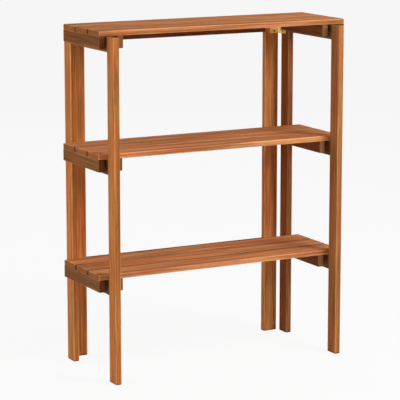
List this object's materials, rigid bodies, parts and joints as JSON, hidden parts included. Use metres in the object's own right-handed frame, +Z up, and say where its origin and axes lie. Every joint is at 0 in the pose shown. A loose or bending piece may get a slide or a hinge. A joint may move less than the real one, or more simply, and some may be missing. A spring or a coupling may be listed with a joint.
{
  "type": "tiered plant stand",
  "caption": "Folding slatted hardwood plant stand with loose lift-off shelves on side frames that hinge from a back frame.",
  "frame": {"origin": "on the floor, midway between the front faces of the legs and the back faces of the posts, and midway along the shelves", "axes": "+X to the right along the shelves, +Y to the back, +Z up"},
  "size_m": [0.8, 0.359, 1],
  "materials": {
    "frame_wood": "oiled hardwood, satin",
    "rail_wood": "oiled hardwood, satin",
    "batten_wood": "oiled hardwood, satin",
    "slat_wood": "oiled hardwood, satin",
    "dowel_wood": "plain beech",
    "hinge_brass": "lightly aged",
    "screw_brass": "darkened by age",
    "screw_steel": "zinc plated"
  },
  "bodies": {
    "back_frame": {"left_back_post": "frame_wood", "right_back_post": "frame_wood", "top_back_rail": "rail_wood", "middle_back_rail": "rail_wood", "bottom_back_rail": "rail_wood", "back_rail_dowels": "dowel_wood", "upper_left_post_leaf": "hinge_brass", "upper_left_hinge_pin": "hinge_brass", "lower_left_post_leaf": "hinge_brass", "lower_left_hinge_pin": "hinge_brass", "left_post_leaf_screws": "screw_brass", "upper_right_post_leaf": "hinge_brass", "upper_right_hinge_pin": "hinge_brass", "lower_right_post_leaf": "hinge_brass", "lower_right_hinge_pin": "hinge_brass", "right_post_leaf_screws": "screw_brass"},
    "left_panel": {"front_left_leg": "frame_wood", "rear_left_leg": "frame_wood", "top_left_rail": "rail_wood", "middle_left_rail": "rail_wood", "bottom_left_rail": "rail_wood", "left_rail_dowels": "dowel_wood", "upper_left_leg_leaf": "hinge_brass", "lower_left_leg_leaf": "hinge_brass", "left_leg_leaf_screws": "screw_brass"},
    "right_panel": {"front_right_leg": "frame_wood", "rear_right_leg": "frame_wood", "top_right_rail": "rail_wood", "middle_right_rail": "rail_wood", "bottom_right_rail": "rail_wood", "right_rail_dowels": "dowel_wood", "upper_right_leg_leaf": "hinge_brass", "lower_right_leg_leaf": "hinge_brass", "right_leg_leaf_screws": "screw_brass"},
    "top_shelf": {"top_front_slat": "slat_wood", "top_centre_slat": "slat_wood", "top_rear_slat": "slat_wood", "top_left_outer_batten": "batten_wood", "top_left_inner_batten": "batten_wood", "top_right_inner_batten": "batten_wood", "top_right_outer_batten": "batten_wood", "top_shelf_screws": "screw_steel"},
    "middle_shelf": {"middle_front_slat": "slat_wood", "middle_centre_slat": "slat_wood", "middle_rear_slat": "slat_wood", "middle_left_outer_batten": "batten_wood", "middle_left_inner_batten": "batten_wood", "middle_right_inner_batten": "batten_wood", "middle_right_outer_batten": "batten_wood", "middle_shelf_screws": "screw_steel"},
    "bottom_shelf": {"bottom_front_slat": "slat_wood", "bottom_centre_slat": "slat_wood", "bottom_rear_slat": "slat_wood", "bottom_left_outer_batten": "batten_wood", "bottom_left_inner_batten": "batten_wood", "bottom_right_inner_batten": "batten_wood", "bottom_right_outer_batten": "batten_wood", "bottom_shelf_screws": "screw_steel"}
  },
  "joints": [
    {"name": "left_panel_fold", "type": "hinge", "parent": "back_frame", "child": "left_panel", "pos_m": [-0.3507, 0.1572, 0.9595], "axis": [0, 0, 1], "range_deg": [-0.7, 1.8]},
    {"name": "right_panel_fold", "type": "hinge", "parent": "back_frame", "child": "right_panel", "pos_m": [0.3507, 0.1572, 0.9595], "axis": [0, 0, -1], "range_deg": [-0.7, 1.8]},
    {"name": "top_shelf_lift", "type": "slide", "parent": "back_frame", "child": "top_shelf", "axis": [0, 0, 1], "range_m": [0, 0.3]},
    {"name": "middle_shelf_lift", "type": "slide", "parent": "back_frame", "child": "middle_shelf", "axis": [0, 0, 1], "range_m": [0, 0.275]},
    {"name": "bottom_shelf_lift", "type": "slide", "parent": "back_frame", "child": "bottom_shelf", "axis": [0, 0, 1], "range_m": [0, 0.275]}
  ]
}
